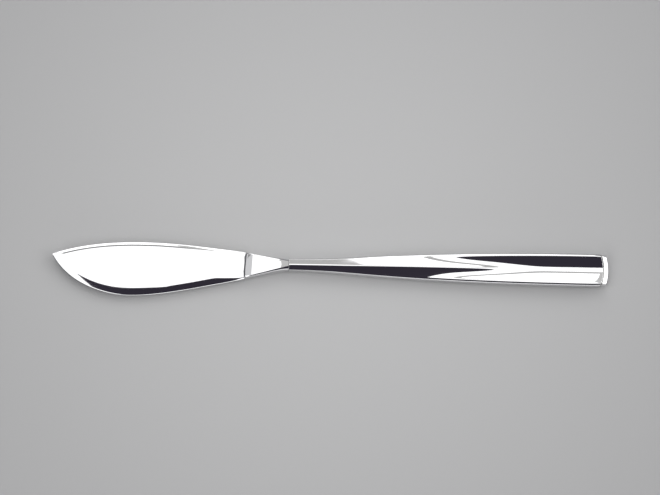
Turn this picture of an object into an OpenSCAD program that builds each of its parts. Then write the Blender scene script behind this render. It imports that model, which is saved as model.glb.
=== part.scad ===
// Cheese knife with a hollow handle, lying on its side.
// X runs from the tip of the blade to the butt, Y points to the spine's side and Z points up.
// The knife lies on z = 0, with the middle of its box over the origin.
// Everything is drawn about the handle's axis first, with x counted from the tip.

/* [Blade] */
// Length of the blade from its tip to the bolster
blade_length = 69; // [60:1:80]
// Thickness of the blade
blade_thick = 1.8; // [1.5:0.1:2]
// Height of the tip above the handle's axis
tip_rise = 2.3; // [1:0.1:3.5]
// Width of the blunt tip
tip_width = 0.5; // [0.3:0.1:1]
// Height of the spine's highest point above the handle's axis
spine_rise = 7.2; // [6:0.1:8.5]
// Distance from the tip to the spine's highest point
spine_peak = 32; // [26:1:38]
// Depth of the belly's lowest point below the handle's axis
belly_depth = 12; // [10:0.1:14]
// Distance from the tip to the belly's lowest point
belly_peak = 27.5; // [23:0.5:33]
// Height of the spine above the handle's axis at the bolster
root_rise = 4.2; // [3.8:0.1:5]
// Depth of the cutting edge below the handle's axis at the bolster
root_depth = 5.3; // [4.4:0.1:6.2]
// Thickness of the cutting edge
edge_thick = 0.2; // [0.1:0.05:0.4]
// Width of the small lip along the cutting edge
edge_lip = 0.26; // [0.1:0.02:0.4]
// Height of that lip on each side
lip_height = 0.27; // [0.15:0.01:0.35]
// Width of the bevel along the belly of the cutting edge
edge_bevel = 4; // [2.8:0.1:4.8]
// Width of that bevel nearer to the bolster
edge_bevel_back = 2.3; // [1.8:0.1:3]
// Thickness of the spine outside its bevel
spine_thick = 1.35; // [1:0.05:1.4]
// Width of the bevel along the spine
spine_bevel = 0.9; // [0.6:0.1:1.4]
// Stretch before the bolster in which the bevels die out
bevel_runout = 12; // [8:1:20]

/* [Tang] */
// Width of the tang where it leaves the blade
tang_root = 4.8; // [3:0.1:5]
// Width of the tang inside the handle
tang_width = 1.8; // [1.4:0.1:2]
// Step down from each face of the blade to the tang
tang_step = 0.15; // [0.05:0.05:0.3]
// Stretch behind the blade in which the tang narrows
tang_taper = 12; // [8:1:14]
// Length of the tang inside the handle
tang_reach = 55; // [30:1:80]
// Length of the tang's pointed end
tang_point = 3; // [1:0.5:6]
// Width of the tang's tip
tang_tip = 0.9; // [0.4:0.1:1.2]
// Diameter of the notches that key the tang into the cement
notch_diameter = 0.8; // [0.4:0.1:1]
// Distance between neighbouring notches
notch_pitch = 8; // [5:1:12]
// Notches along the tang, on alternate sides
notch_count = 5; // [1:1:6]

/* [Bolster] */
// Length of the bolster
bolster_length = 16; // [14:0.5:20]
// Thickness of the bolster at its crown
bolster_thick = 5.4; // [5:0.1:5.6]
// Height of the bolster's front edge over the blade's face
shoulder_step = 0.15; // [0.15:0.05:0.4]
// Radius of the bolster's front edge
shoulder_round = 0.8; // [0.5:0.1:0.9]
// Length of the roll from the front edge up to the crown
shoulder_roll = 4.6; // [3:0.1:6]
// Length of the sloping collar at the bolster's back
collar_run = 3.4; // [2.4:0.1:4.4]
// Slope of the collar
collar_slope = 0.19; // [0.12:0.01:0.2]
// Radius of the bolster's long edges at its front
bolster_round = 0.55; // [0.3:0.05:0.8]
// Radius of the bolster's long edges at its back
collar_round = 1.4; // [1:0.1:1.5]
// Length of the straight taper from the blade's width
bolster_lead = 7; // [4:0.5:9]
// Length of the parallel stretch at the bolster's back
collar_lead = 3.5; // [2.5:0.5:6]

/* [Handle] */
// Length of the two handle shells
handle_length = 113; // [105:1:125]
// Thickness of the handle over its ridge
handle_thick = 5.4; // [5.2:0.1:7]
// Width of the neck
neck_width = 4.2; // [4:0.1:5]
// Thickness of the neck
neck_thick = 5; // [4.6:0.1:5.2]
// Width of the handle at the butt
butt_width = 11.8; // [10:0.1:14]
// Stretch of the neck that stays slim
neck_run = 19; // [12:1:26]
// Distance from the neck's end by which the flare is done
flare_run = 41; // [36:1:60]
// Stretch in which the neck rises to the full thickness
neck_rise = 16; // [8:0.5:18]
// Wall of the shells
wall = 0.7; // [0.5:0.05:0.8]
// Radius of the neck's edges
neck_round = 0.35; // [0.3:0.05:0.6]
// Radius of the handle's rims
rim_round = 0.9; // [0.5:0.05:1.1]
// Lean of the side walls of the handle and the bolster
side_lean = 0.05; // [0.02:0.01:0.1]
// Fall from the low ridge of the neck to its edges
neck_fall = 0.3; // [0.2:0.05:0.4]
// Slope of the flanks beside the neck's ridge
neck_slope = 0.15; // [0.1:0.01:0.2]
// Where the neck's low ridge begins to sharpen
ridge_from = 14; // [8:1:20]
// Where the ridge is at its sharpest
ridge_to = 50; // [40:1:58]
// Fall from the ridge to the rims along the middle of the handle
ridge_fall = 0.85; // [0.4:0.05:1.2]
// Slope of the flanks beside the ridge
ridge_slope = 0.285; // [0.1:0.005:0.4]
// Depth of the trough at the butt
trough_depth = 1.2; // [0.6:0.1:1.5]
// Where the ridge begins to turn into the trough
turn_from = 40; // [30:1:50]
// Where the trough reaches its depth
turn_to = 98; // [80:1:104]
// Where the ridge begins to fade
fade_from = 62; // [50:1:70]
// Where the ridge has faded
fade_to = 92; // [76:1:100]
// Radius of the butt seen from above
butt_radius = 14; // [10:1:30]
// Stretch before the butt in which its curve grows
bow_run = 20; // [10:1:30]
// Narrowing of the shells on each side at their last end
butt_taper = 0.15; // [0:0.01:0.5]
// Drop of the shells' tops at their last end
butt_roll = 0.12; // [0:0.01:0.3]

/* [Butt cap] */
// Length of the cap behind the shells
cap_length = 1.7; // [1.2:0.1:3]
// Drop of the cap's sloping face
cap_drop = 0.9; // [0.4:0.1:1.2]
// Narrowing of the cap on each side
cap_taper = 0.1; // [0:0.1:0.8]
// Length of the cap's spigot inside the shells
spigot_length = 3; // [2:0.5:5]
// Clearance between the spigot and the shells
spigot_gap = 0.1; // [0.05:0.05:0.2]

/* [Brazing] */
// Thickness of every brazed joint
braze = 0.15; // [0.1:0.05:0.25]

/* [Hidden] */
$fn = 32;

steel = [0.78, 0.78, 0.79];
bright_steel = [0.84, 0.84, 0.85];
solder = [0.7, 0.71, 0.7];
cement = [0.55, 0.5, 0.42];

// Steps of the lofted surfaces
blade_steps = 20;
bolster_steps = 5;
handle_steps = 28;
spigot_steps = 2;
flank_steps = 5;
corner_steps = 4;

// Places along the knife
bolster_end = blade_length + bolster_length;
handle_start = bolster_end + braze;
spigot_start = handle_start + handle_length - spigot_length;
handle_end = handle_start + handle_length;
cap_start = handle_end + braze;
overall_length = cap_start + cap_length;
tang_end = handle_start + tang_reach;

// Halves of the sizes that lie about the handle's axis
blade_half = blade_thick / 2;
tang_deep = blade_half - tang_step;
neck_half = neck_width / 2;
butt_half = butt_width / 2;
handle_half = handle_thick / 2;
seam_half = braze / 2;

// The box is centred on its blade and its butt, whichever reaches further
reach_up = max(spine_rise, butt_half);
reach_down = max(belly_depth, butt_half);
axis_shift = (reach_down - reach_up) / 2;

// Fullness of the blade's curves, as shares of each stretch between an end and a peak
spine_tip_curve = [0.25, 0.6, 0.44];
spine_root_curve = [0.4, 0.6, 0.32];
belly_tip_curve = [0.145, 0.52, 0.47];
belly_root_curve = [0.39, 0.52, 0.28];
// Shares of the edge bevel's width and height at the middle of its rounded face
edge_belly = [0.45, 0.66];
// Distances from the tip between which the edge bevel narrows
edge_narrows = [28, 42];
// Shares of the blade's thickness, of the edge bevel and of the spine's bevel that are left at the root
root_edge_share = 0.8;
root_bevel_share = 0.12;
least_bevel = 0.1;
// Smallest rounding inside the shells, and the bolster's slight camber
least_round = 0.3;
camber = 0.05;
// Rounding where the bolster's crown turns down into the collar
collar_soft = 0.4;
// Shares of the bolster's run at which its front and back roundings end
bolster_bands = [0.2, 0.7];
// Overlap of solids that are joined into one piece, and of cutters past what they cut
lap = 0.5;

function mix(a, b, t) = a + (b - a) * t;
function ease(from, to, x) =
    let(t = max(0, min(1, (x - from) / (to - from))))
    t * t * (3 - 2 * t);
function bezier(p, t) =
    let(u = 1 - t)
    u * u * u * p[0] + 3 * u * u * t * p[1] + 3 * u * t * t * p[2] + t * t * t * p[3];
function backwards(list) = [for (i = [len(list) - 1 : -1 : 0]) list[i]];
function mirrored(line) = [for (p = line) [p[0], p[1], -p[2]]];

// A curve from an end point to a peak, level at the peak
function arch(end, peak, curve, t) =
    bezier([
        end,
        [mix(end[0], peak[0], curve[0]), mix(end[1], peak[1], curve[1])],
        [mix(peak[0], end[0], curve[2]), peak[1]],
        peak
    ], t);
// A whole edge of the blade, from the tip over its peak to the bolster
function outline(tip, peak, root, tip_curve, root_curve) =
    concat(
        [for (i = [0 : blade_steps]) arch(tip, peak, tip_curve, i / blade_steps)],
        [for (i = [1 : blade_steps]) arch(root, peak, root_curve, 1 - i / blade_steps)]
    );

// A row of points goes along an upper line and back along a lower one
function row(upper, lower) = concat(upper, backwards(lower));
function solid_row(upper) = row(upper, mirrored(upper));

// Closed solid through rows of points that follow each other along X
module loft(rows) {
    count = len(rows[0]);
    half = count / 2;
    last = (len(rows) - 1) * count;
    sides = [
        for (i = [0 : len(rows) - 2], j = [0 : count - 1])
            let(a = i * count + j, b = a + count, k = (j + 1) % count - j)
            each j < half
                ? [[a, b, a + k], [a + k, b, b + k]]
                : [[a, b, b + k], [a, b + k, a + k]]
    ];
    ends = [
        for (j = [0 : half - 2])
            let(k = count - 1 - j)
            each [
                [j, j + 1, k - 1], [j, k - 1, k],
                [last + j, last + k - 1, last + j + 1], [last + j, last + k, last + k - 1]
            ]
    ];
    polyhedron([for (points = rows) each points], concat(sides, ends), convexity = 6);
}

// Half of a section: a flank from the crown to the rim, a rounded edge and a side wall
function half_section(half, crown, rim, round, slope) =
    let(
        side = half - side_lean,
        end_slope = 2 * (rim - crown) / (side - round) - slope,
        turn = max(0, atan(-end_slope)),
        flat = side - round * (1 - sin(turn)),
        bend = (rim - crown) / flat - slope
    )
    concat(
        [
            for (i = [0 : flank_steps])
                let(t = i / flank_steps)
                [flat * t, crown + flat * t * (slope + bend * t)]
        ],
        [
            for (i = [1 : corner_steps])
                let(a = mix(turn, 90, i / corner_steps), drop = round * (cos(turn) - cos(a)))
                [flat + round * (sin(a) - sin(turn)), max(seam_half + camber, rim - drop)]
        ],
        [[half, seam_half]]
    );
// The whole upper line of a section, from the spine's side to the edge's side
function upper_line(x, spine_side, edge_side) =
    concat(
        [for (p = backwards(spine_side)) [x - bow(x) * p[0] * p[0], p[0], p[1]]],
        [for (i = [1 : len(edge_side) - 1]) let(p = edge_side[i]) [x - bow(x) * p[0] * p[0], -p[0], p[1]]]
    );
// Curve of the cross lines near the butt
function bow(x) = ease(handle_end - bow_run, handle_end, x) / (2 * butt_radius);

// Blade: one row from the spine to the cutting edge
function blade_row(spine, edge) =
    let(
        width = norm(edge - spine),
        spine_out = ease(blade_length - bevel_runout, blade_length, spine[0]),
        edge_out = ease(blade_length - bevel_runout, blade_length, edge[0]),
        narrow = ease(edge_narrows[0], edge_narrows[1], edge[0]),
        spine_wide = spine_bevel * mix(1, least_bevel, spine_out),
        edge_wide = mix(edge_bevel, edge_bevel_back, narrow) * mix(1, root_bevel_share, edge_out),
        full = min(1, width / (spine_wide + edge_wide + edge_lip)),
        lip_z = edge_thick / 2 + lip_height,
        face = mix(lip_z, blade_half, full),
        spine_z = mix(mix(lip_z, spine_thick / 2, full), face, spine_out * (1 - least_bevel)),
        edge_z = mix(lip_z, face * root_edge_share, edge_out),
        share = full / width,
        lip = 1 - edge_lip * share,
        bevel = edge_wide * share,
        columns = [
            [0, spine_z],
            [spine_wide * share, face],
            [lip - bevel, face],
            [lip - bevel * edge_belly[0], mix(edge_z, face, edge_belly[1])],
            [lip, edge_z],
            [1, edge_z - lip_height]
        ]
    )
    solid_row([for (c = columns) let(p = mix(spine, edge, c[0])) [p[0], p[1], c[1]]]);
spine_line = outline(
    [0, tip_rise + tip_width / 2], [spine_peak, spine_rise], [blade_length, root_rise],
    spine_tip_curve, spine_root_curve
);
edge_line = outline(
    [0, tip_rise - tip_width / 2], [belly_peak, -belly_depth], [blade_length, -root_depth],
    belly_tip_curve, belly_root_curve
);

// Tang: half its width at a place behind the blade's root, which its slot follows
function tang_half(x) =
    mix(tang_root, tang_width, min(1, (x - blade_length) / tang_taper)) / 2;
function tang_side(from, to, gap) = [
    [from, tang_half(from) + gap],
    [blade_length + tang_taper, tang_width / 2 + gap],
    [to, tang_width / 2 + gap]
];
// A plate as thick as the tang with a gap round it, between one side line and its mirror image
module tang_plate(side, gap) {
    deep = tang_deep + gap;
    translate([0, 0, -deep])
        linear_extrude(2 * deep)
            polygon(concat(side, [for (p = backwards(side)) [p[0], -p[1]]]));
}
module tang() {
    difference() {
        tang_plate(
            concat(tang_side(blade_length - lap, tang_end - tang_point, 0), [[tang_end, tang_tip / 2]]), 0
        );
        for (i = [1 : notch_count])
            let(side = i % 2 == 0 ? 1 : -1)
            translate([tang_end - tang_point - i * notch_pitch, side * tang_width / 2, -blade_half])
                cylinder(h = blade_thick, d = notch_diameter);
    }
}

// Bolster: its half widths and its height along its length
function bolster_half(root, x) =
    let(
        run = bolster_length,
        p = [
            [0, root],
            [bolster_lead, mix(root, neck_half, bolster_lead / (run - collar_lead / 2))],
            [run - collar_lead, neck_half],
            [run, neck_half]
        ]
    )
    bezier(p, x);
function bolster_height(x) =
    let(
        crown = bolster_thick / 2,
        drop = crown - blade_half - shoulder_step - shoulder_round,
        rise = 1 - min(1, x / shoulder_roll),
        edge = max(0, shoulder_round - x),
        rounding = shoulder_round - sqrt(shoulder_round * shoulder_round - edge * edge),
        past = max(0, x - bolster_length + collar_run),
        fall = collar_slope * (norm([past, collar_soft]) - collar_soft)
    )
    crown - drop * rise * rise - rounding - fall;
function bolster_row(t) =
    let(
        spine_side = bolster_half(root_rise, t),
        edge_side = bolster_half(root_depth, t),
        x = spine_side[0],
        crown = bolster_height(x),
        round = mix(bolster_round, collar_round, pow(x / bolster_length, 3))
    )
    upper_line(
        blade_length + x,
        half_section(spine_side[1], crown, crown - camber, round, 0),
        half_section(edge_side[1], crown, crown - camber, round, 0)
    );
// Sections crowd towards the two rounded ends of the bolster
bolster_times = concat(
    [for (i = [0 : bolster_steps - 1]) bolster_bands[0] * (1 - cos(90 * i / bolster_steps))],
    [for (i = [0 : bolster_steps - 1]) mix(bolster_bands[0], bolster_bands[1], i / bolster_steps)],
    [for (i = [0 : bolster_steps]) mix(bolster_bands[1], 1, sin(90 * i / bolster_steps))]
);

// Handle: where its sections lie, as distances from the neck's end with the half width there
handle_stations = concat(
    [
        for (i = [0 : handle_steps])
            bezier([
                [0, neck_half], [neck_run, neck_half], [flare_run, butt_half],
                [handle_length - spigot_length, butt_half]
            ], i / handle_steps)
    ],
    [
        for (i = [1 : spigot_steps])
            let(u = handle_length - spigot_length * (1 - i / spigot_steps))
            [u, butt_half - butt_taper * butt_end(u)]
    ]
);
// How far the shells' last end has drawn in, from none to all
function butt_end(u) = pow(max(0, 1 - (handle_length - u) / spigot_length), 2);
// Height of the middle of the top: the ridge that turns into a trough
function crown_height(u) =
    mix(neck_thick / 2, handle_half, ease(0, neck_rise, u))
    - trough_depth * ease(turn_from, turn_to, u)
    - butt_roll * butt_end(u);
// Height of the rims over the middle
function rim_offset(u) =
    mix(-mix(neck_fall, ridge_fall, ridge_share(u)), trough_depth, ease(turn_from, turn_to, u));
function flank_slope(u) =
    -mix(neck_slope, ridge_slope, ridge_share(u)) * (1 - ease(fade_from, fade_to, u));
function ridge_share(u) = ease(ridge_from, ridge_to, u);
function edge_round(u) = mix(neck_round, rim_round, ease(0, neck_run, u));
// A half section of the handle, drawn inwards by an inset
function handle_section(station, inset) =
    let(
        u = station[0],
        crown = crown_height(u) - inset,
        round = max(least_round, edge_round(u) - inset)
    )
    half_section(station[1] - inset, crown, crown + rim_offset(u), round, flank_slope(u));
function handle_line(station, inset, x) =
    let(side = handle_section(station, inset))
    upper_line(x, side, side);
function handle_lines(inset) =
    [for (s = handle_stations) handle_line(s, inset, handle_start + s[0])];
last_station = handle_stations[len(handle_stations) - 1];

// Butt cap: its back edge is lower and narrower than the shells
function cap_back() =
    let(
        u = last_station[0],
        crown = crown_height(u) - cap_drop,
        side = half_section(last_station[1] - cap_taper, crown, crown + rim_offset(u), edge_round(u), 0)
    )
    upper_line(overall_length, side, side);

module place() {
    translate([-overall_length / 2, axis_shift, handle_half])
        children();
}
module shell_half() {
    outer = handle_lines(0);
    inner = handle_lines(wall);
    loft([for (i = [0 : len(outer) - 1]) row(outer[i], inner[i])]);
}
module seam_strip() {
    loft([
        for (s = handle_stations)
            let(
                x = handle_start + s[0],
                inside = s[1] - wall,
                outer = [x - bow(x) * s[1] * s[1], s[1], seam_half],
                inner = [x - bow(x) * inside * inside, inside, seam_half]
            )
            solid_row([outer, inner])
    ]);
}

module blade() {
    color(bright_steel) place() union() {
        loft([for (i = [0 : len(spine_line) - 1]) blade_row(spine_line[i], edge_line[i])]);
        tang();
    }
}
module bolster() {
    color(steel) place() difference() {
        loft([for (t = bolster_times) solid_row(bolster_row(t))]);
        tang_plate(tang_side(blade_length - lap, bolster_end + lap, braze), braze);
    }
}
module handle_top_shell() {
    color(steel) place() shell_half();
}
module handle_bottom_shell() {
    color(steel) place() mirror([0, 0, 1]) shell_half();
}
module butt_cap() {
    color(bright_steel) place() union() {
        loft([solid_row(handle_line(last_station, 0, cap_start)), solid_row(cap_back())]);
        loft([
            for (x = [spigot_start, cap_start + cap_length / 2])
                solid_row(handle_line(last_station, wall + spigot_gap, x))
        ]);
    }
}
module handle_cement() {
    lines = handle_lines(wall);
    color(cement) place() difference() {
        loft([for (i = [0 : handle_steps]) solid_row(lines[i])]);
        tang();
    }
}
module tang_braze() {
    color(solder) place() difference() {
        tang_plate(tang_side(blade_length, bolster_end, braze), braze);
        tang();
    }
}
module neck_braze() {
    line = bolster_row(1);
    color(solder) place() difference() {
        loft([
            for (x = [bolster_end, handle_start])
                solid_row([for (p = line) [x, p[1], p[2]]])
        ]);
        tang();
    }
}
module spine_seam_braze() {
    color(solder) place() seam_strip();
}
module edge_seam_braze() {
    color(solder) place() mirror([0, 1, 0]) seam_strip();
}
module butt_braze() {
    color(solder) place() difference() {
        loft([for (x = [handle_end, cap_start]) solid_row(handle_line(last_station, 0, x))]);
        loft([for (x = [handle_end - lap, cap_start + lap]) solid_row(handle_line(last_station, wall, x))]);
    }
}

blade();
bolster();
handle_top_shell();
handle_bottom_shell();
butt_cap();
handle_cement();
tang_braze();
neck_braze();
spine_seam_braze();
edge_seam_braze();
butt_braze();
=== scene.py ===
import math

import bmesh
import bpy
import numpy as np
from mathutils import Matrix, Vector


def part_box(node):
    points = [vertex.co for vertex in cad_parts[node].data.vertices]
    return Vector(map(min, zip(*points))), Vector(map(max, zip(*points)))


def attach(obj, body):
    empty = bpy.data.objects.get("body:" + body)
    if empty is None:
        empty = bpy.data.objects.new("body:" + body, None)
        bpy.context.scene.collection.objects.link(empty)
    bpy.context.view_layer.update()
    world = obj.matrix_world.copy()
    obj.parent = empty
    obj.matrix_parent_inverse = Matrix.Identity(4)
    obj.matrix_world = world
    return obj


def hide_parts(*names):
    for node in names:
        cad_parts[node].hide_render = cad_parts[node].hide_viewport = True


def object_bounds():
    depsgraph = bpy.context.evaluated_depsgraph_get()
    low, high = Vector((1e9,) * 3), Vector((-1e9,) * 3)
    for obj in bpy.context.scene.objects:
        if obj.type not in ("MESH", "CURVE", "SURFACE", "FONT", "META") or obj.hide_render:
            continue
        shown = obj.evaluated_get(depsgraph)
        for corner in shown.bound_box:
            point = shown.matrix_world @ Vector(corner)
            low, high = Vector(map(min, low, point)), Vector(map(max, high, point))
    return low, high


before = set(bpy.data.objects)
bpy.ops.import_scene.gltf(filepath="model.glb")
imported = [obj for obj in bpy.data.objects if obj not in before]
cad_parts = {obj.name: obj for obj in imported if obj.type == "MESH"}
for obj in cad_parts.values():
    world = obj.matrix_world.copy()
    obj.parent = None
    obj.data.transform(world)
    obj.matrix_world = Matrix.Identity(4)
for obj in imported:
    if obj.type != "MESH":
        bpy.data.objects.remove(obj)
cad_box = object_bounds()
scene = bpy.context.scene
MM = 0.001

# Photograph, in pixels: its size, the knife's length and where its middle falls on the handle's axis
PHOTO_WIDTH = 660
PHOTO_HEIGHT = 495
PHOTO_KNIFE = 555.7
PHOTO_MIDDLE = (330.35, 265.95)

# Camera: its angle over the table, the knife's tilt in the picture and the lens
VIEW_ELEVATION = math.radians(81)
VIEW_ROLL = math.radians(1.06)
LENS_MM = 100
SENSOR_MM = 36

# From the frame, in millimetres: places along the knife from its tip, the handle's height and its axis
TIP_X = cad_box[0].x / MM
OVERALL = cad_box[1].x / MM - TIP_X
BOLSTER_START, BOLSTER_END = (corner.x / MM - TIP_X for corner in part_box("bolster"))
HANDLE_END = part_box("handle_top_shell")[1].x / MM - TIP_X
CAP_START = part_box("butt_braze")[1].x / MM - TIP_X
BRAZE = CAP_START - HANDLE_END
BOLSTER_RUN = BOLSTER_END - BOLSTER_START
HANDLE_START = BOLSTER_END + BRAZE
HANDLE_RUN = HANDLE_END - HANDLE_START
HANDLE_HALF = cad_box[1].z / MM / 2
AXIS_SHIFT = sum(corner.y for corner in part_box("handle_top_shell")) / MM / 2
ORIGIN = np.array([TIP_X, AXIS_SHIFT, HANDLE_HALF])
SEAM_HALF = BRAZE / 2

# Blade, in millimetres about the handle's axis
BLADE_HALF = 0.9
TIP_RISE = 2.3
TIP_WIDTH = 0.5
SPINE_PEAK = (32, 7.2)
BELLY_PEAK = (27.5, -12)
SPINE_ROOT = (BOLSTER_START, 4.2)
BELLY_ROOT = (BOLSTER_START, -5.3)
# Shares that place the two control points of an arch:
# the first along and across from its end, the second back along from its peak
SPINE_CURVES = ((0.25, 0.6, 0.44), (0.4, 0.6, 0.32))
BELLY_CURVES = ((0.145, 0.52, 0.47), (0.39, 0.52, 0.28))
EDGE_HALF = 0.1
EDGE_LIP_WIDTH = 0.26
EDGE_LIP_DEPTH = 0.27
LIP_SHARE = 0.3
EDGE_BEVEL = 4
EDGE_BEVEL_BACK = 2.3
EDGE_NARROWS = (28, 42)
EDGE_POWER = 1.8
SPINE_EDGE_HALF = 0.675
SPINE_BEVEL = 0.9
# How soft the spine bevel's inner corner is, at first and at last, and where it sharpens
BEVEL_SOFT = (0.2, 0.01)
BEVEL_SHARPENS = (46, 62)
BEVEL_RUNOUT = 12
ROOT_EDGE_SHARE = 0.8
ROOT_BEVEL_SHARE = 0.12
LEAST_BEVEL = 0.1
BLADE_ROWS = 150
# Points across the blade: they crowd over so many widths of each bevel, up to a share of the row
BEVELS_MOST = 0.9
SPINE_REACH = 2
EDGE_REACH = 1.1
SPINE_POINTS = 25
FLAT_POINTS = 8
EDGE_POINTS = 27

# Tang
TANG_ROOT = 4.8
TANG_WIDTH = 1.8
TANG_STEP = 0.15
TANG_DEEP = BLADE_HALF - TANG_STEP
TANG_TAPER = 12
TANG_REACH = 55
TANG_END = HANDLE_START + TANG_REACH
TANG_POINT = 3
TANG_TIP = 0.9
NOTCH_RADIUS = 0.4
NOTCH_PITCH = 8
NOTCHES = 5
NOTCH_POINTS = 9

# Bolster
NECK_HALF = 2.1
BOLSTER_HALF = 2.7
SHOULDER_DROP = 0.85
SHOULDER_ROLL = 4.6
SHOULDER_ROUND = 0.8
SHOULDER_SLANT = 0.35
SHOULDER_CURVE = 0.5
SHOULDER_POWER = 4
COLLAR_SLOPE = 0.19
COLLAR_RUN = 3.4
COLLAR_SOFT = 0.4
BOLSTER_ROUND = 0.55
COLLAR_ROUND = 1.4
COLLAR_POWER = 3
BOLSTER_LEAD = 7
COLLAR_LEAD = 3.5
BOLSTER_ROWS = 90

# Handle: its ridge steepens over GABLE, turns into a trough over TURN and loses its slopes over FADE
NECK_DEEP = 2.5
BUTT_HALF = 5.9
NECK_RUN = 19
FLARE_RUN = 41
NECK_RISE = 16
WALL = 0.7
NECK_ROUND = 0.35
RIM_ROUND = 0.9
LEAST_ROUND = 0.3
SIDE_LEAN = 0.05
CAMBER = 0.05
NECK_FALL = 0.3
RIDGE_FALL = 0.85
NECK_SLOPE = 0.15
RIDGE_SLOPE = 0.285
GABLE = (14, 50)
TROUGH_DEPTH = 1.2
TURN = (40, 98)
FADE = (62, 92)
BUTT_RADIUS = 14
BOW_RUN = 20
BUTT_TAPER = 0.15
NECK_SOFT = 0.3
RIDGE_SOFT = 0.4
CREST_SOFT = 0.5
NECK_END_ROUND = 0.04
BUTT_END_ROUND = 0.25
BUTT_ROLL = 0.12
HANDLE_ROWS = 180
FLARE_POINTS = 3600
END_ROW = 0.06

# Butt cap
CAP_DROP = 0.9
CAP_TAPER = 0.1
SPIGOT_LENGTH = 3
SPIGOT_GAP = 0.1
CAP_FRONT_ROUND = 0.25
CAP_BACK_ROUND = 0.2
CAP_ROWS = 14

# Points of a section's flank, rounded edge and side wall, and of a rounded end
FLANK_STEPS = 36
CORNER_STEPS = 16
WALL_STEPS = 3
END_STEPS = 7
TANGENT_PASSES = 8
SHARP_ANGLE = math.radians(40)


def mix(a, b, t):
    return a + (b - a) * t


def ease(start, end, x):
    t = np.clip((np.asarray(x, float) - start) / (end - start), 0, 1)
    return t * t * (3 - 2 * t)


def bezier(points, t):
    a, b, c, d = (np.asarray(p, float) for p in points)
    t = np.asarray(t, float)[:, None]
    s = 1 - t
    return s**3 * a + 3 * s**2 * t * b + 3 * s * t**2 * c + t**3 * d


def soft_minimum(a, b, soft):
    """The lower of two heights, with a soft corner where they cross."""
    share = np.clip(0.5 + 0.5 * (b - a) / soft, 0, 1)
    return mix(b, a, share) - soft * share * (1 - share)


def quarter_round(radius):
    """Distances from an end and how far a rounded edge draws in there, from the end inwards."""
    angle = np.linspace(0, math.pi / 2, END_STEPS)
    return radius * (1 - np.cos(angle)), radius * (1 - np.sin(angle))


def mirrored(line):
    return line * np.array([1, 1, -1])


def solid_rows(upper):
    """Loops along upper lines and back along their mirror images."""
    return np.concatenate([upper, mirrored(upper)[:, ::-1]], axis=1)


def make_piece(name, points, faces, node, material):
    """A closed mesh that stands for a CAD node and rides on the knife's one body."""
    mesh = bpy.data.meshes.new(name)
    mesh.from_pydata(((points + ORIGIN) * MM).tolist(), [], faces)
    work = bmesh.new()
    work.from_mesh(mesh)
    bmesh.ops.recalc_face_normals(work, faces=work.faces)
    work.to_mesh(mesh)
    work.free()
    mesh.shade_smooth()
    mesh.set_sharp_from_angle(angle=SHARP_ANGLE)
    mesh.materials.append(material)
    piece = bpy.data.objects.new(name, mesh)
    scene.collection.objects.link(piece)
    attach(piece, "root")
    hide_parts(node)


def side_faces(index):
    """Quads between rows of point numbers, each row a closed loop."""
    ahead = np.roll(index, -1, axis=1)
    quads = np.stack([index[:-1], index[1:], ahead[1:], ahead[:-1]], axis=-1)
    return quads.reshape(-1, 4).tolist()


def loft(name, rows, node, material):
    """Closed mesh through rows that go along an upper line and back along a lower one."""
    stations, count, _ = rows.shape
    index = np.arange(stations * count).reshape(stations, count)
    there = np.arange(count // 2 - 1)
    back = count - 1 - there
    faces = side_faces(index)
    for end in (index[0], index[-1]):
        faces += np.stack([end[there], end[there + 1], end[back - 1], end[back]], axis=-1).tolist()
    make_piece(name, rows.reshape(-1, 3), faces, node, material)


def tube(name, outer, inner, node, material):
    """Closed mesh between outer and inner rows of the same count, open along its length."""
    stations, count, _ = outer.shape
    index = np.arange(stations * count).reshape(stations, count)
    inside = index + index.size
    faces = side_faces(index) + side_faces(inside)
    for end in (0, -1):
        faces += side_faces(np.stack([index[end], inside[end]]))
    points = np.concatenate([outer.reshape(-1, 3), inner.reshape(-1, 3)])
    make_piece(name, points, faces, node, material)


# Sections of the bolster, the shells and the cap
def half_section(half, crown, rim, corner, slope, soft):
    """Points from the crown to the seam at each station, as stations by points by (v, z)."""
    columns = np.broadcast_arrays(half, crown, rim, corner, slope, soft)
    columns = (np.atleast_1d(column).astype(float)[:, None] for column in columns)
    half, crown, rim, corner, slope, soft = columns
    side = half - SIDE_LEAN
    flat = side - corner
    for _ in range(TANGENT_PASSES):
        end_slope = 2 * (rim - crown) / flat - slope
        turn = np.maximum(0, np.arctan(-end_slope))
        flat = side - corner * (1 - np.sin(turn))
    bend = (rim - crown) / flat - slope

    t = np.linspace(0, 1, FLANK_STEPS + 1)[None, :]
    flank_v = flat * t
    ridge = np.sqrt(flank_v**2 + soft**2) - soft
    past_crest = np.maximum(0, flank_v - flat + CREST_SOFT)
    crest = np.maximum(0, end_slope) * past_crest**2 / (2 * CREST_SOFT)
    flank_z = crown + slope * ridge + bend * flank_v * t - crest

    angle = mix(turn, math.pi / 2, np.linspace(0, 1, CORNER_STEPS + 1)[None, 1:])
    corner_v = flat + corner * (np.sin(angle) - np.sin(turn))
    corner_z = flank_z[:, -1:] - corner * (np.cos(turn) - np.cos(angle))
    corner_z = np.maximum(SEAM_HALF + CAMBER, corner_z)

    down = np.linspace(0, 1, WALL_STEPS + 1)[None, 1:]
    wall_v = mix(corner_v[:, -1:], half, down)
    wall_z = mix(corner_z[:, -1:], SEAM_HALF, down)
    v = np.concatenate([flank_v, corner_v, wall_v], axis=1)
    z = np.concatenate([flank_z, corner_z, wall_z], axis=1)
    return np.stack([v, z], axis=-1)


def bow(x):
    """How much sections bow near the butt, as set-back per square of the distance from the axis."""
    return ease(HANDLE_END - BOW_RUN, HANDLE_END, x) / (2 * BUTT_RADIUS)


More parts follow.
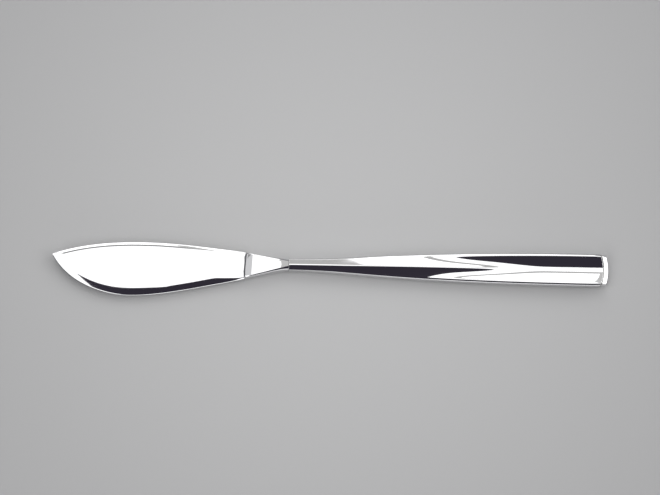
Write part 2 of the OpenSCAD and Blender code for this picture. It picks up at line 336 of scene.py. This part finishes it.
def upper_line(x, spine_side, edge_side):
    """Whole upper lines, from the spine's side to the edge's side, bowed near the butt."""
    flipped = edge_side[:, 1:] * np.array([-1, 1])
    line = np.concatenate([spine_side[:, ::-1], flipped], axis=1)
    x = np.atleast_1d(x).astype(float)[:, None]
    along = x - bow(x) * line[..., 0] ** 2
    return np.concatenate([along[..., None], line], axis=-1)


# Blade
def arch(end, peak, curve, t):
    """A part of the outline, from one end of the blade to the peak."""
    return bezier(
        [
            end,
            (mix(end[0], peak[0], curve[0]), mix(end[1], peak[1], curve[1])),
            (mix(peak[0], end[0], curve[2]), peak[1]),
            peak,
        ],
        t,
    )


def outline(tip, peak, root, curves):
    t = np.linspace(0, 1, BLADE_ROWS + 1)
    front = arch(tip, peak, curves[0], t)
    back = arch(root, peak, curves[1], t[::-1][1:])
    return np.concatenate([front, back])


def slant(line, across):
    """Share of a row's length that lies square to an outline."""
    along = np.gradient(line, axis=0)
    along /= np.linalg.norm(along, axis=1, keepdims=True)
    return np.abs(along[:, 0] * across[:, 1] - along[:, 1] * across[:, 0])


def leaf_lines():
    """Upper lines of the blade's leaf from the spine to the cutting edge, with both bevels."""
    spine = outline((0, TIP_RISE + TIP_WIDTH / 2), SPINE_PEAK, SPINE_ROOT, SPINE_CURVES)
    edge = outline((0, TIP_RISE - TIP_WIDTH / 2), BELLY_PEAK, BELLY_ROOT, BELLY_CURVES)
    width = np.linalg.norm(edge - spine, axis=1)
    across = (edge - spine) / width[:, None]
    spine_w = SPINE_BEVEL / slant(spine, across)
    edge_slant = slant(edge, across)
    edge_w = mix(EDGE_BEVEL, EDGE_BEVEL_BACK, ease(*EDGE_NARROWS, edge[:, 0])) / edge_slant
    bevel_end = (width - np.minimum(EDGE_LIP_WIDTH / edge_slant, LIP_SHARE * width))[:, None]
    spine_out = ease(BOLSTER_START - BEVEL_RUNOUT, BOLSTER_START, spine[:, 0])
    edge_out = ease(BOLSTER_START - BEVEL_RUNOUT, BOLSTER_START, edge[:, 0])
    spine_w = (spine_w * mix(1, LEAST_BEVEL, spine_out))[:, None]
    edge_w = (edge_w * mix(1, ROOT_BEVEL_SHARE, edge_out))[:, None]
    spine_z = mix(SPINE_EDGE_HALF, BLADE_HALF, spine_out * (1 - LEAST_BEVEL))[:, None]
    edge_z = mix(EDGE_HALF + EDGE_LIP_DEPTH, BLADE_HALF * ROOT_EDGE_SHARE, edge_out)[:, None]

    width = width[:, None]
    reach = SPINE_REACH * spine_w + EDGE_REACH * edge_w
    full = np.minimum(1, BEVELS_MOST * bevel_end / reach)
    from_spine = spine_w * full * np.linspace(0, SPINE_REACH, SPINE_POINTS)
    to_edge = bevel_end - edge_w * full * np.linspace(EDGE_REACH, 0, EDGE_POINTS)
    between = np.linspace(0, 1, FLAT_POINTS + 2)[None, 1:-1]
    middle = mix(from_spine[:, -1:], to_edge[:, :1], between)
    d = np.concatenate([from_spine, middle, to_edge, width], axis=1)
    spine_face = mix(spine_z, BLADE_HALF, d / spine_w)
    inwards = np.clip((bevel_end - d) / edge_w, 0, 1)
    edge_face = mix(edge_z, BLADE_HALF, 1 - (1 - inwards) ** EDGE_POWER)
    soft = mix(*BEVEL_SOFT, ease(*BEVEL_SHARPENS, spine[:, :1]))
    z = np.minimum(soft_minimum(spine_face, BLADE_HALF, soft), edge_face)
    z[:, -1] -= EDGE_LIP_DEPTH
    flat = spine[:, None, :] + across[:, None, :] * d[..., None]
    behind = ease(BOLSTER_START - BEVEL_RUNOUT, BOLSTER_START, flat[..., 0])
    flat[..., 0] += shoulder_shift(flat[..., 1]) * behind
    return np.concatenate([flat, z[..., None]], axis=-1)


def tang_half(x):
    """Half width of the tang without its notches."""
    narrowing = np.clip((x - BOLSTER_START) / TANG_TAPER, 0, 1)
    point = np.clip((x - TANG_END + TANG_POINT) / TANG_POINT, 0, 1)
    return (mix(TANG_ROOT, TANG_WIDTH, narrowing) - (TANG_WIDTH - TANG_TIP) * point) / 2


def tang_lines(columns):
    """Upper lines of the tang, as many points as the leaf has, with notches on alternate sides."""
    notches = TANG_END - TANG_POINT - NOTCH_PITCH * np.arange(1, NOTCHES + 1)
    round_notch = NOTCH_RADIUS * np.linspace(-1, 1, NOTCH_POINTS)
    corners = [BOLSTER_START, BOLSTER_START + TANG_TAPER, TANG_END - TANG_POINT, TANG_END]
    x = np.sort(np.concatenate([corners, *(middle + round_notch for middle in notches)]))
    spine_side = tang_half(x)
    edge_side = -spine_side
    for i, middle in enumerate(notches):
        depth = np.sqrt(np.maximum(0, NOTCH_RADIUS**2 - (x - middle) ** 2))
        if i % 2 == 0:
            edge_side += depth
        else:
            spine_side -= depth
    share = np.linspace(0, 1, columns)[None, :]
    y = mix(spine_side[:, None], edge_side[:, None], share)
    x = np.broadcast_to(x[:, None], y.shape)
    return np.stack([x, y, np.full_like(y, TANG_DEEP)], axis=-1)


def make_blade(material):
    leaf = leaf_lines()
    lines = np.concatenate([leaf, tang_lines(leaf.shape[1])])
    loft("blade_polished", solid_rows(lines), "blade", material)


# Bolster
def shoulder_shift(v):
    """How far the line between blade and bolster lies behind its middle, across the knife."""
    share = v / -BELLY_ROOT[1]
    return SHOULDER_SLANT * share + SHOULDER_CURVE * share**SHOULDER_POWER


def bolster_half(root, t):
    """Distances from the bolster's front and half widths there, on one side."""
    lead = mix(root, NECK_HALF, BOLSTER_LEAD / (BOLSTER_RUN - COLLAR_LEAD / 2))
    front = [(0, root), (BOLSTER_LEAD, lead)]
    back = [(BOLSTER_RUN - COLLAR_LEAD, NECK_HALF), (BOLSTER_RUN, NECK_HALF)]
    return bezier(front + back, t)


def bolster_height(x):
    """Half thickness of the bolster at distances from its front."""
    rise = 1 - np.minimum(1, x / SHOULDER_ROLL)
    past = np.maximum(0, x - BOLSTER_RUN + COLLAR_RUN)
    fall = COLLAR_SLOPE * (np.sqrt(past**2 + COLLAR_SOFT**2) - COLLAR_SOFT)
    edge = np.maximum(0, SHOULDER_ROUND - x)
    rounding = SHOULDER_ROUND - np.sqrt(SHOULDER_ROUND**2 - edge**2)
    return BOLSTER_HALF - SHOULDER_DROP * rise**2 - fall - rounding


def bolster_times():
    """Sections crowd towards the two rounded ends of the bolster."""
    swing = np.linspace(0, math.pi, BOLSTER_ROWS)
    return (1 - np.cos(swing)) / 2


def slot_line(x):
    """Upper lines of the slot that the tang is brazed into, point for point as the bolster's."""
    side = np.minimum(1, np.arange(FLANK_STEPS + CORNER_STEPS + WALL_STEPS + 1) / FLANK_STEPS)
    down = np.clip((np.arange(len(side)) - FLANK_STEPS) / (CORNER_STEPS + WALL_STEPS), 0, 1)
    v = (tang_half(x) + BRAZE)[:, None] * side
    z = np.broadcast_to(mix(TANG_DEEP + BRAZE, SEAM_HALF, down), v.shape)
    half = np.stack([v, z], axis=-1)
    return upper_line(x, half, half)


def make_bolster(material):
    t = bolster_times()
    spine_side = bolster_half(SPINE_ROOT[1], t)
    edge_side = bolster_half(-BELLY_ROOT[1], t)
    x = spine_side[:, 0]
    crown = bolster_height(x)
    corner = mix(BOLSTER_ROUND, COLLAR_ROUND, (x / x[-1]) ** COLLAR_POWER)
    halves = [
        half_section(side[:, 1], crown, crown - CAMBER, corner, 0, NECK_SOFT)
        for side in (spine_side, edge_side)
    ]
    outer = upper_line(BOLSTER_START + x, *halves)
    outer[..., 0] += shoulder_shift(outer[..., 1]) * (1 - ease(0, SHOULDER_ROLL, x))[:, None]
    inner = slot_line(BOLSTER_START + x)
    tube("bolster_polished", solid_rows(outer), solid_rows(inner), "bolster", material)


# Handle shells
def butt_end(u):
    """How far the shells' last end has drawn in, from none to all."""
    return np.maximum(0, 1 - (HANDLE_RUN - u) / SPIGOT_LENGTH) ** 2


def handle_half(u):
    """Half width of the handle at distances from the neck's end."""
    main = HANDLE_RUN - SPIGOT_LENGTH
    stations = bezier(
        [(0, NECK_HALF), (NECK_RUN, NECK_HALF), (FLARE_RUN, BUTT_HALF), (main, BUTT_HALF)],
        np.linspace(0, 1, FLARE_POINTS),
    )
    return np.interp(u, stations[:, 0], stations[:, 1]) - BUTT_TAPER * butt_end(u)


def crown_height(u):
    """Height of the handle along its middle, where the ridge sinks into the trough."""
    rise = mix(NECK_DEEP, HANDLE_HALF, ease(0, NECK_RISE, u))
    return rise - TROUGH_DEPTH * ease(*TURN, u) - BUTT_ROLL * butt_end(u)


def rim_offset(u):
    """How far the rims lie above the middle. Beside the ridge they lie below it."""
    fall = mix(NECK_FALL, RIDGE_FALL, ease(*GABLE, u))
    return mix(-fall, TROUGH_DEPTH, ease(*TURN, u))


def flank_slope(u):
    """Slope of the flanks where they leave the ridge."""
    return -mix(NECK_SLOPE, RIDGE_SLOPE, ease(*GABLE, u)) * (1 - ease(*FADE, u))


def edge_round(u):
    return mix(NECK_ROUND, RIM_ROUND, ease(0, NECK_RUN, u))


def handle_section(u, inset, drop=0.0, narrow=0.0):
    """Half sections of the handle, drawn in by inset. The cap is lower and narrower as well."""
    crown = crown_height(u) - inset - drop
    corner = np.maximum(LEAST_ROUND, edge_round(u) - inset)
    soft = mix(NECK_SOFT, RIDGE_SOFT, ease(*GABLE, u))
    half = handle_half(u) - inset - narrow
    return half_section(half, crown, crown + rim_offset(u), corner, flank_slope(u), soft)


def handle_line(u, inset):
    side = handle_section(u, inset)
    return upper_line(HANDLE_START + u, side, side)


def shell_rows():
    """Rows along the outside of a shell and back along its inside, with both ends rounded."""
    neck_u, neck_in = quarter_round(NECK_END_ROUND)
    butt_u, butt_in = quarter_round(BUTT_END_ROUND)
    first, last = neck_u[-1] + END_ROW, HANDLE_RUN - butt_u[-1] - END_ROW
    main = np.linspace(first, last, HANDLE_ROWS)
    u = np.concatenate([neck_u, main, HANDLE_RUN - butt_u[::-1]])
    inset = np.concatenate([neck_in, np.zeros_like(main), butt_in[::-1]])
    outer = handle_line(u, inset)
    inner = handle_line(u, np.full_like(u, WALL))
    return np.concatenate([outer, inner[:, ::-1]], axis=1)


def make_shells(material):
    rows = shell_rows()
    loft("handle_top_polished", rows, "handle_top_shell", material)
    loft("handle_bottom_polished", mirrored(rows), "handle_bottom_shell", material)


# Butt cap
def make_butt_cap(material):
    """The spigot's rows, then the plate's with a rounded front, a sloping face and a rounded back."""
    length = OVERALL - CAP_START
    front_x, front_in = quarter_round(CAP_FRONT_ROUND)
    back_x, back_in = quarter_round(CAP_BACK_ROUND)
    slope_x = np.linspace(front_x[-1], length - back_x[-1], CAP_ROWS)[1:-1]
    plate_x = np.concatenate([front_x, slope_x, length - back_x[::-1]])
    plate_in = np.concatenate([front_in, np.zeros_like(slope_x), back_in[::-1]])
    share = plate_x / length
    last = np.full_like(plate_x, HANDLE_RUN)
    plate = handle_section(last, plate_in, CAP_DROP * share, CAP_TAPER * share)
    spigot_x = np.array([HANDLE_END - SPIGOT_LENGTH, CAP_START])
    spigot = handle_section(np.full(2, HANDLE_RUN), WALL + SPIGOT_GAP)
    lines = np.concatenate(
        [upper_line(spigot_x, spigot, spigot), upper_line(CAP_START + plate_x, plate, plate)]
    )
    loft("butt_cap_polished", solid_rows(lines), "butt_cap", material)


# Noises: the stretch along the three axes, the scale and the detail
EVEN = (1, 1, 1)
STEEL_LINES = ((60, 2600, 2600), 1, 3)
STEEL_SMEARS = ((1, 1.6, 1.6), 55, 4)
STEEL_WAVES = (EVEN, 190, 0)
BRAZE_GRAIN = (EVEN, 2200, 4)
BRAZE_RIPPLE = (EVEN, 600, 1)
CEMENT_GRAINS = (EVEN, 3000, 5)
CEMENT_PATCHES = (EVEN, 160, 2)
TABLE_FIBRE = (EVEN, 900, 3)

# Colours that a noise blends, the darker one first
STEEL_TINTS = ((0.77, 0.77, 0.78, 1), (0.83, 0.83, 0.84, 1))
SILVER_TINTS = ((0.5, 0.5, 0.48, 1), (0.66, 0.65, 0.62, 1))
# Near-black colours for the neck's braze, which draw a dark line at the neck's seam
DARK_BRAZE_TINTS = ((0.04, 0.04, 0.04, 1), (0.08, 0.078, 0.076, 1))
SAND_TINTS = ((0.36, 0.31, 0.24, 1), (0.6, 0.55, 0.46, 1))
SAND_PATCH = (0.5, 0.45, 0.37, 1)

# Roughness: the range of a noise, then the range that it is mapped to
STEEL_ROUGH = (0.35, 0.75, 0.02, 0.06)
BRAZE_ROUGH = (0.3, 0.7, 0.3, 0.5)
CEMENT_ROUGH = (0.3, 0.7, 0.75, 0.95)

# What the buffing lines add to the roughness, and the table's roughness, gloss and mottle
LINES_ROUGH = 0.03
TABLE_ROUGH = 0.9
TABLE_GLOSS = 0.1
FIBRE_SHARE = 0.06

# Bumps: the strength and the height in metres
WAVES_BUMP = (1, 0.000006)
LINES_BUMP = (0.4, 0.0000004)
RIPPLE_BUMP = (0.5, 0.00003)
GRAINS_BUMP = (0.6, 0.0001)


# Shader nodes
def new_node(tree, kind, **settings):
    node = tree.nodes.new(kind)
    for name, value in settings.items():
        setattr(node, name, value)
    return node


def feed(tree, socket, value):
    if isinstance(value, bpy.types.NodeSocket):
        tree.links.new(value, socket)
    else:
        socket.default_value = value


def calculate(tree, operation, *values):
    node = new_node(tree, "ShaderNodeMath", operation=operation)
    for socket, value in zip(node.inputs, values):
        feed(tree, socket, value)
    return node.outputs[0]


def blend(tree, share, low, high):
    """Colour between low and high."""
    node = new_node(tree, "ShaderNodeMix", data_type="RGBA")
    feed(tree, node.inputs["Factor"], share)
    feed(tree, node.inputs["A"], low)
    feed(tree, node.inputs["B"], high)
    return node.outputs["Result"]


def remap(tree, value, low, high, new_low, new_high, kind="LINEAR"):
    node = new_node(tree, "ShaderNodeMapRange", interpolation_type=kind)
    for name, number in (
        ("Value", value),
        ("From Min", low),
        ("From Max", high),
        ("To Min", new_low),
        ("To Max", new_high),
    ):
        feed(tree, node.inputs[name], number)
    return node.outputs["Result"]


def noise(tree, place, stretch, scale, detail):
    """Noise over the object's own coordinates, stretched along its axes."""
    mapping = new_node(tree, "ShaderNodeMapping")
    mapping.inputs["Scale"].default_value = stretch
    tree.links.new(place, mapping.inputs["Vector"])
    node = new_node(tree, "ShaderNodeTexNoise")
    node.inputs["Scale"].default_value = scale
    node.inputs["Detail"].default_value = detail
    tree.links.new(mapping.outputs["Vector"], node.inputs["Vector"])
    return node.outputs["Fac"]


def bump(tree, height, strength, distance, below=None):
    node = new_node(tree, "ShaderNodeBump")
    node.inputs["Strength"].default_value = strength
    node.inputs["Distance"].default_value = distance
    tree.links.new(height, node.inputs["Height"])
    if below:
        tree.links.new(below, node.inputs["Normal"])
    return node.outputs["Normal"]


def new_material(name):
    material = bpy.data.materials.new(name)
    material.use_nodes = True
    tree = material.node_tree
    place = new_node(tree, "ShaderNodeTexCoord").outputs["Object"]
    return material, tree, tree.nodes["Principled BSDF"], place


def polished_steel():
    """Mirror polish with fine buffing lines, a slight wave and faint smears."""
    material, tree, shader, place = new_material("polished_steel")
    lines = noise(tree, place, *STEEL_LINES)
    smears = noise(tree, place, *STEEL_SMEARS)
    waves = noise(tree, place, *STEEL_WAVES)
    shader.inputs["Metallic"].default_value = 1
    tree.links.new(blend(tree, smears, *STEEL_TINTS), shader.inputs["Base Color"])
    smeared = remap(tree, smears, *STEEL_ROUGH)
    rough = calculate(tree, "MULTIPLY_ADD", lines, LINES_ROUGH, smeared)
    tree.links.new(rough, shader.inputs["Roughness"])
    waved = bump(tree, waves, *WAVES_BUMP)
    tree.links.new(bump(tree, lines, *LINES_BUMP, waved), shader.inputs["Normal"])
    return material


def braze(name, tints):
    """Filler metal: duller than the steel, with a slight ripple from the torch."""
    material, tree, shader, place = new_material(name)
    grain = noise(tree, place, *BRAZE_GRAIN)
    ripple = noise(tree, place, *BRAZE_RIPPLE)
    shader.inputs["Metallic"].default_value = 1
    tree.links.new(blend(tree, grain, *tints), shader.inputs["Base Color"])
    tree.links.new(remap(tree, grain, *BRAZE_ROUGH), shader.inputs["Roughness"])
    tree.links.new(bump(tree, ripple, *RIPPLE_BUMP), shader.inputs["Normal"])
    return material


def cement():
    """Set handle cement: sandy, matte and a little uneven."""
    material, tree, shader, place = new_material("handle_cement")
    grains = noise(tree, place, *CEMENT_GRAINS)
    patches = noise(tree, place, *CEMENT_PATCHES)
    sand = blend(tree, grains, *SAND_TINTS)
    tree.links.new(blend(tree, patches, sand, SAND_PATCH), shader.inputs["Base Color"])
    tree.links.new(remap(tree, patches, *CEMENT_ROUGH), shader.inputs["Roughness"])
    tree.links.new(bump(tree, grains, *GRAINS_BUMP), shader.inputs["Normal"])
    return material


def dress_fillers():
    """Materials on the CAD's own brazes and cement. The line that the neck's braze shows is dark."""
    bright = braze("silver_braze", SILVER_TINTS)
    dark_line_braze = braze("dark_neck_braze", DARK_BRAZE_TINTS)
    for node, material in (
        ("tang_braze", bright),
        ("spine_seam_braze", bright),
        ("edge_seam_braze", bright),
        ("neck_braze", dark_line_braze),
        ("butt_braze", bright),
        ("handle_cement", cement()),
    ):
        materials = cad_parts[node].data.materials
        materials.clear()
        materials.append(material)


# Table, light and camera, in metres. The table's colour holds a painted pool of light around the
# knife: paler in its middle and darker towards the table's edge
TABLE_HALF = 3
PAINTED_POOL_MIDDLE = (0, 0.02, 0)
PAINTED_POOL_RADIUS = 0.22
TABLE_PAINTED_LIT = (0.614, 0.615, 0.617, 1)
TABLE_PAINTED_DIM = (0.458, 0.459, 0.463, 1)
PALE_BACKGROUND = (0.36, 0.361, 0.364, 1)

# The room that the steel mirrors: a sky that darkens between two heights of direction, and cards
SURROUND = (0.73, 0.73, 0.74, 1)
HORIZON = (0.06, 0.06, 0.065, 1)
HORIZON_HEIGHTS = (0.1, 0.7)
DARK_ROOM = (0.034, 0.03, 0.042, 1)
GREY_GAP = (0.53, 0.53, 0.52, 1)
BLADE_GAP = (0.3, 0.3, 0.3, 1)
COLLAR_GREY = (0.63, 0.625, 0.615, 1)
LOW_DARK = (0.12, 0.12, 0.13, 1)
LIT_CARD = (1.5, 1.5, 1.5, 1)
EAST_CARD = (2.8, 2.8, 2.8, 1)
LOW_SOUTH = (1.1, 1.1, 1.1, 1)
NORTH_CARD = (1.9, 1.9, 1.9, 1)
CARD_SOFT = 0.6
# Each card: its south and north limits, its west and east limits, in degrees from straight up, and its
# colour. A later card is painted over the earlier ones.
CARDS = (
    (-80, 0, -17.5, 46, DARK_ROOM),
    (-95, -71, -70, -2, LOW_SOUTH),
    (-95, -73, -2.5, 85, LIT_CARD),
    (-95, 95, -95, -54, LOW_DARK),
    (15, 34, -35, 35, GREY_GAP),
    (15, 34, -35, -4, BLADE_GAP),
    (-1, 50, 13, 40, COLLAR_GREY),
    (-1.3, 16, -4, 18, LIT_CARD),
    (-6, 16, -17.5, -3.3, LIT_CARD),
    (-60, 2, -60, -17.5, LIT_CARD),
    (25, 82, -35, -3.9, NORTH_CARD),
    (34, 82, -4.5, 1, NORTH_CARD),
    (42, 56, -5.2, 0.6, GREY_GAP),
    (55, 70, -8, 0.8, GREY_GAP),
    (69, 84, -14, 1.2, GREY_GAP),
    (29.9, 82, 0.3, 1.5, NORTH_CARD),
    (22.5, 82, 1.2, 14, NORTH_CARD),
    (24, 40, -62, -22, LOW_DARK),
    (-42, 60, 48, 74, EAST_CARD),
)


def make_table():
    material, tree, shader, place = new_material("grey_table")
    distance = new_node(tree, "ShaderNodeVectorMath", operation="DISTANCE")
    tree.links.new(place, distance.inputs[0])
    distance.inputs[1].default_value = PAINTED_POOL_MIDDLE
    # Painted pool of light: the colour runs from the paler table colour near the knife to the darker
    # one further out. The fibre noise added on top is the table's own mottle.
    painted_falloff = remap(tree, distance.outputs["Value"], 0, PAINTED_POOL_RADIUS, 0, 1, "SMOOTHSTEP")
    fibre = noise(tree, place, *TABLE_FIBRE)
    fibre_and_painted_falloff = calculate(tree, "MULTIPLY_ADD", fibre, FIBRE_SHARE, painted_falloff)
    tree.links.new(blend(tree, fibre_and_painted_falloff, TABLE_PAINTED_LIT, TABLE_PAINTED_DIM), shader.inputs["Base Color"])
    shader.inputs["Roughness"].default_value = TABLE_ROUGH
    shader.inputs["Specular IOR Level"].default_value = TABLE_GLOSS
    mesh = bpy.data.meshes.new("table")
    corners = [(-1, -1), (1, -1), (1, 1), (-1, 1)]
    mesh.from_pydata([(x * TABLE_HALF, y * TABLE_HALF, 0) for x, y in corners], [], [(0, 1, 2, 3)])
    mesh.materials.append(material)
    table = bpy.data.objects.new("table", mesh)
    scene.collection.objects.link(table)


def band(tree, angle, low, high):
    """1 between two angles, with slightly soft limits."""
    rise = remap(tree, angle, low - CARD_SOFT / 2, low + CARD_SOFT / 2, 0, 1, "SMOOTHSTEP")
    fall = remap(tree, angle, high - CARD_SOFT / 2, high + CARD_SOFT / 2, 1, 0, "SMOOTHSTEP")
    return calculate(tree, "MULTIPLY", rise, fall)


def make_light():
    """A room of lit and dark cards, painted by direction. The camera itself sees a plain grey."""
    world = bpy.data.worlds.new("studio")
    scene.world = world
    world.use_nodes = True
    tree = world.node_tree
    tree.nodes.clear()
    split = new_node(tree, "ShaderNodeSeparateXYZ")
    tree.links.new(new_node(tree, "ShaderNodeTexCoord").outputs["Generated"], split.inputs[0])
    x, y, z = split.outputs
    north = calculate(tree, "DEGREES", calculate(tree, "ARCTAN2", y, z))
    east = calculate(tree, "DEGREES", calculate(tree, "ARCTAN2", x, z))
    colour = blend(tree, remap(tree, z, *HORIZON_HEIGHTS, 0, 1, "SMOOTHSTEP"), HORIZON, SURROUND)
    for south_limit, north_limit, west_limit, east_limit, card in CARDS:
        between_north = band(tree, north, south_limit, north_limit)
        between_east = band(tree, east, west_limit, east_limit)
        share = calculate(tree, "MULTIPLY", between_north, between_east)
        colour = blend(tree, share, colour, card)
    camera_ray = new_node(tree, "ShaderNodeLightPath").outputs["Is Camera Ray"]
    background = new_node(tree, "ShaderNodeBackground")
    tree.links.new(blend(tree, camera_ray, colour, PALE_BACKGROUND), background.inputs["Color"])
    output = new_node(tree, "ShaderNodeOutputWorld")
    tree.links.new(background.outputs["Background"], output.inputs["Surface"])


def make_camera():
    """Stands where the knife's middle and length fall on their places in the photograph."""
    data = bpy.data.cameras.new("camera")
    data.lens = LENS_MM
    data.sensor_width = SENSOR_MM
    camera = bpy.data.objects.new("camera", data)
    scene.collection.objects.link(camera)
    scene.camera = camera
    level = Vector((1, 0, 0))
    away = Vector((0, math.cos(VIEW_ELEVATION), -math.sin(VIEW_ELEVATION)))
    top = Vector((0, math.sin(VIEW_ELEVATION), math.cos(VIEW_ELEVATION)))
    right = level * math.cos(VIEW_ROLL) + top * math.sin(VIEW_ROLL)
    up = top * math.cos(VIEW_ROLL) - level * math.sin(VIEW_ROLL)
    pixel = OVERALL * MM / PHOTO_KNIFE
    distance = pixel * PHOTO_WIDTH * LENS_MM / SENSOR_MM
    middle = Vector((0, AXIS_SHIFT, HANDLE_HALF)) * MM
    aside = right * (PHOTO_MIDDLE[0] - PHOTO_WIDTH / 2) - up * (PHOTO_MIDDLE[1] - PHOTO_HEIGHT / 2)
    place = middle - aside * pixel - away * distance
    turn = Matrix((right, up, -away)).transposed().to_4x4()
    camera.matrix_world = Matrix.Translation(place) @ turn


steel = polished_steel()
make_blade(steel)
make_bolster(steel)
make_shells(steel)
make_butt_cap(steel)
dress_fillers()
make_table()
make_light()
make_camera()
scene.view_settings.view_transform = "Standard"
